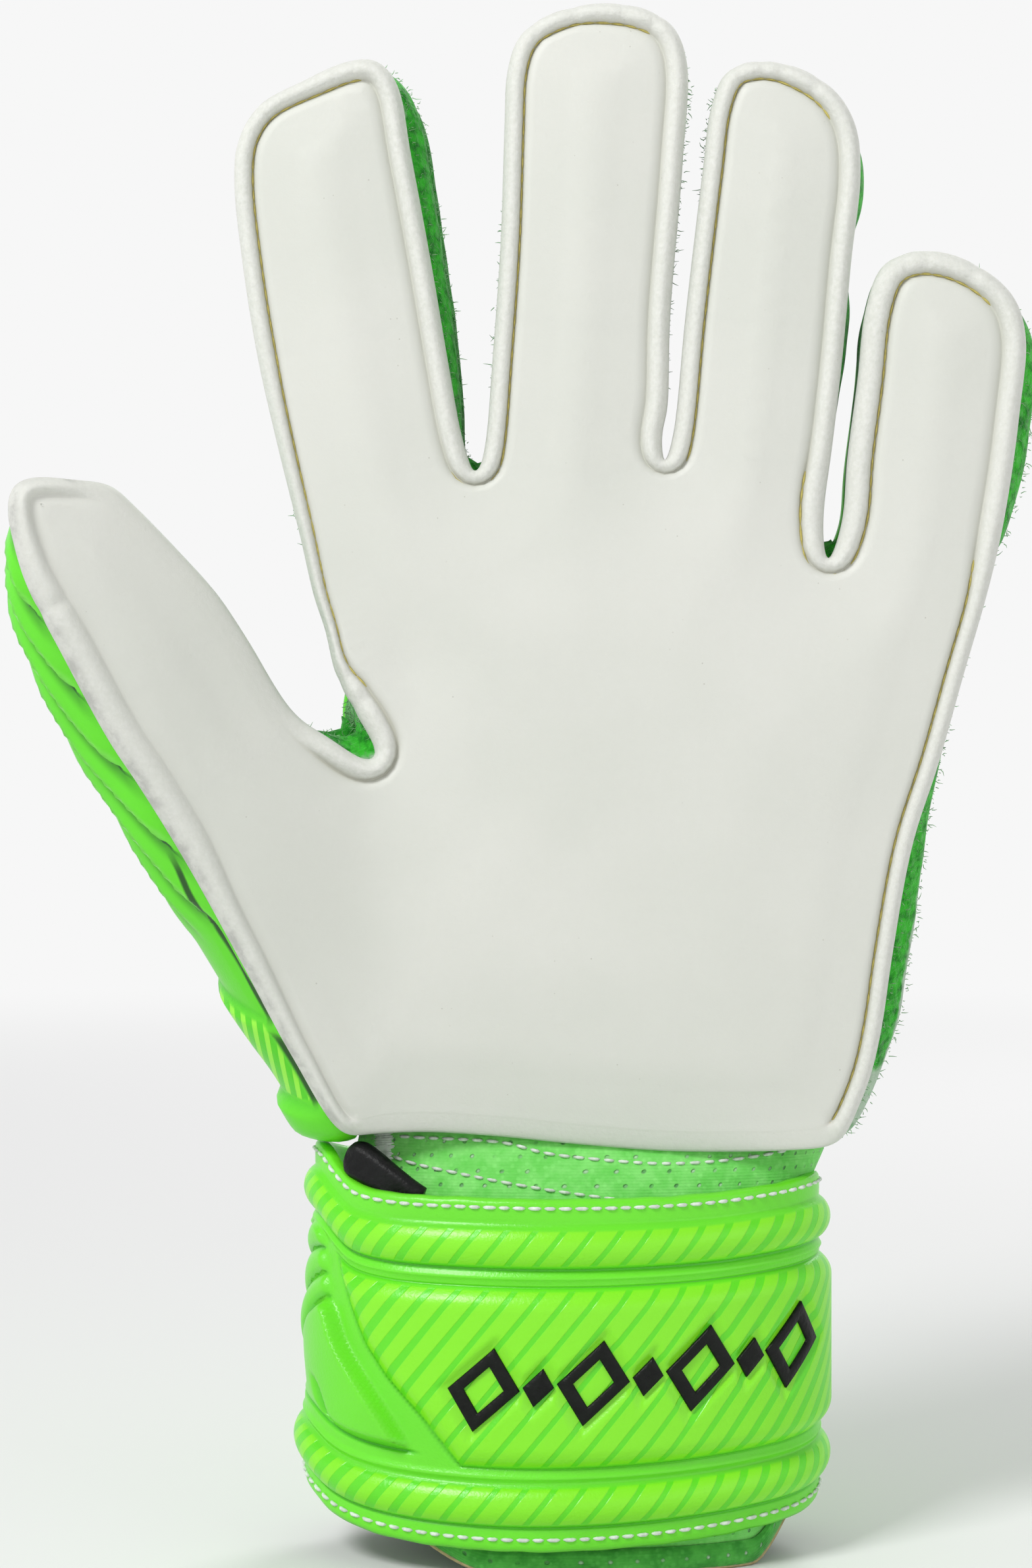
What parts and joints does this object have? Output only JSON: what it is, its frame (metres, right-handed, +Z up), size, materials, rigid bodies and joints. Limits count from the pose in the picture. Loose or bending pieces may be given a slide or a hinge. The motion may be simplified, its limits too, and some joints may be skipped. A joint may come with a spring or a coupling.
{
  "type": "goalkeeper glove",
  "caption": "Left goalkeeper glove standing on its cuff: padded latex palm, jointed finger stalls, embossed back, wide wrist strap that peels open.",
  "frame": {"origin": "centre of the wrist opening, on the plane of the cuff's lower rim", "axes": "+Z up to the fingertips, +Y to the back of the hand (the palm faces -Y), +X to the little-finger side"},
  "size_m": [0.1877, 0.0717, 0.284],
  "materials": {
    "latex_foam": "matte",
    "embossed_cover": "satin",
    "gusset_fabric": "matte",
    "lining": "matte",
    "padding_foam": "matte",
    "hem_fabric": "matte",
    "bandage_mesh": "matte",
    "strap_cover": "satin",
    "hook_and_loop_black": "matte",
    "loop_pile": "matte",
    "webbing": "satin"
  },
  "bodies": {
    "cuff": {"cuff_hem": "hem_fabric", "wrist_bandage": "bandage_mesh", "strap_wrap": "strap_cover", "strap_loop_patch": "loop_pile"},
    "hand": {"palm_latex": "latex_foam", "palm_lining": "lining", "backhand_cover": "embossed_cover", "backhand_padding": "padding_foam", "index_middle_web": "gusset_fabric", "middle_ring_web": "gusset_fabric", "ring_little_web": "gusset_fabric", "thumb_web_gusset": "gusset_fabric", "index_side_gusset": "gusset_fabric", "little_side_gusset": "gusset_fabric", "thumb_side_gusset": "gusset_fabric"},
    "thumb_base": {"thumb_base_latex": "latex_foam", "thumb_base_cover": "embossed_cover", "thumb_base_gusset": "gusset_fabric"},
    "thumb_tip": {"thumb_tip_latex": "latex_foam", "thumb_tip_cover": "embossed_cover", "thumb_tip_gusset": "gusset_fabric"},
    "index_base": {"index_base_latex": "latex_foam", "index_base_cover": "embossed_cover", "index_base_gusset": "gusset_fabric"},
    "index_tip": {"index_tip_latex": "latex_foam", "index_tip_cover": "embossed_cover", "index_tip_gusset": "gusset_fabric"},
    "middle_base": {"middle_base_latex": "latex_foam", "middle_base_cover": "embossed_cover", "middle_base_gusset": "gusset_fabric"},
    "middle_tip": {"middle_tip_latex": "latex_foam", "middle_tip_cover": "embossed_cover", "middle_tip_gusset": "gusset_fabric"},
    "ring_base": {"ring_base_latex": "latex_foam", "ring_base_cover": "embossed_cover", "ring_base_gusset": "gusset_fabric"},
    "ring_tip": {"ring_tip_latex": "latex_foam", "ring_tip_cover": "embossed_cover", "ring_tip_gusset": "gusset_fabric"},
    "little_base": {"little_base_latex": "latex_foam", "little_base_cover": "embossed_cover", "little_base_gusset": "gusset_fabric"},
    "little_tip": {"little_tip_latex": "latex_foam", "little_tip_cover": "embossed_cover", "little_tip_gusset": "gusset_fabric"},
    "strap_tail": {"strap_tail": "strap_cover", "strap_hook_pad": "hook_and_loop_black"},
    "pull_loop": {"pull_loop": "webbing"}
  },
  "joints": [
    {"name": "wrist_flex", "type": "hinge", "parent": "cuff", "child": "hand", "pos_m": [0, 0, 0.074], "axis": [1, 0, 0], "range_deg": [-15, 15], "stiffness_Nm_per_rad": 3},
    {"name": "thumb_knuckle", "type": "hinge", "parent": "hand", "child": "thumb_base", "pos_m": [-0.06694, -0.02227, 0.15239], "axis": [0.7601, 0.3544, 0.5446], "range_deg": [0, 60], "stiffness_Nm_per_rad": 0.12},
    {"name": "thumb_middle", "type": "hinge", "parent": "thumb_base", "child": "thumb_tip", "pos_m": [-0.0783, -0.02757, 0.17168], "axis": [0.7601, 0.3544, 0.5446], "range_deg": [0, 60], "stiffness_Nm_per_rad": 0.06},
    {"name": "index_knuckle", "type": "hinge", "parent": "hand", "child": "index_base", "pos_m": [-0.03511, -0.008, 0.20999], "axis": [0.9829, 0, 0.184], "range_deg": [0, 60], "stiffness_Nm_per_rad": 0.12},
    {"name": "index_middle", "type": "hinge", "parent": "index_base", "child": "index_tip", "pos_m": [-0.04007, -0.008, 0.23653], "axis": [0.9829, 0, 0.184], "range_deg": [0, 70], "stiffness_Nm_per_rad": 0.06},
    {"name": "middle_knuckle", "type": "hinge", "parent": "hand", "child": "middle_base", "pos_m": [0.00215, -0.008, 0.21098], "axis": [0.998, 0, -0.0628], "range_deg": [0, 60], "stiffness_Nm_per_rad": 0.12},
    {"name": "middle_middle", "type": "hinge", "parent": "middle_base", "child": "middle_tip", "pos_m": [0.00404, -0.008, 0.24092], "axis": [0.998, 0, -0.0628], "range_deg": [0, 70], "stiffness_Nm_per_rad": 0.06},
    {"name": "ring_knuckle", "type": "hinge", "parent": "hand", "child": "ring_base", "pos_m": [0.03543, -0.008, 0.21254], "axis": [0.9947, 0, -0.1028], "range_deg": [0, 60], "stiffness_Nm_per_rad": 0.12},
    {"name": "ring_middle", "type": "hinge", "parent": "ring_base", "child": "ring_tip", "pos_m": [0.03821, -0.008, 0.23939], "axis": [0.9947, 0, -0.1028], "range_deg": [0, 70], "stiffness_Nm_per_rad": 0.06},
    {"name": "little_knuckle", "type": "hinge", "parent": "hand", "child": "little_base", "pos_m": [0.0655, -0.008, 0.19493], "axis": [0.9925, 0, -0.1219], "range_deg": [0, 60], "stiffness_Nm_per_rad": 0.12},
    {"name": "little_middle", "type": "hinge", "parent": "little_base", "child": "little_tip", "pos_m": [0.06793, -0.008, 0.21478], "axis": [0.9925, 0, -0.1219], "range_deg": [0, 70], "stiffness_Nm_per_rad": 0.06},
    {"name": "strap_peel", "type": "hinge", "parent": "cuff", "child": "strap_tail", "pos_m": [0.0462, 0.01, 0.03575], "axis": [0, 0, -1], "range_deg": [0, 110]},
    {"name": "pull_loop_lift", "type": "hinge", "parent": "cuff", "child": "pull_loop", "pos_m": [-0.0255, -0.0182, 0.0676], "axis": [0.891, -0.454, 0], "range_deg": [0, 45], "stiffness_Nm_per_rad": 0.004}
  ]
}
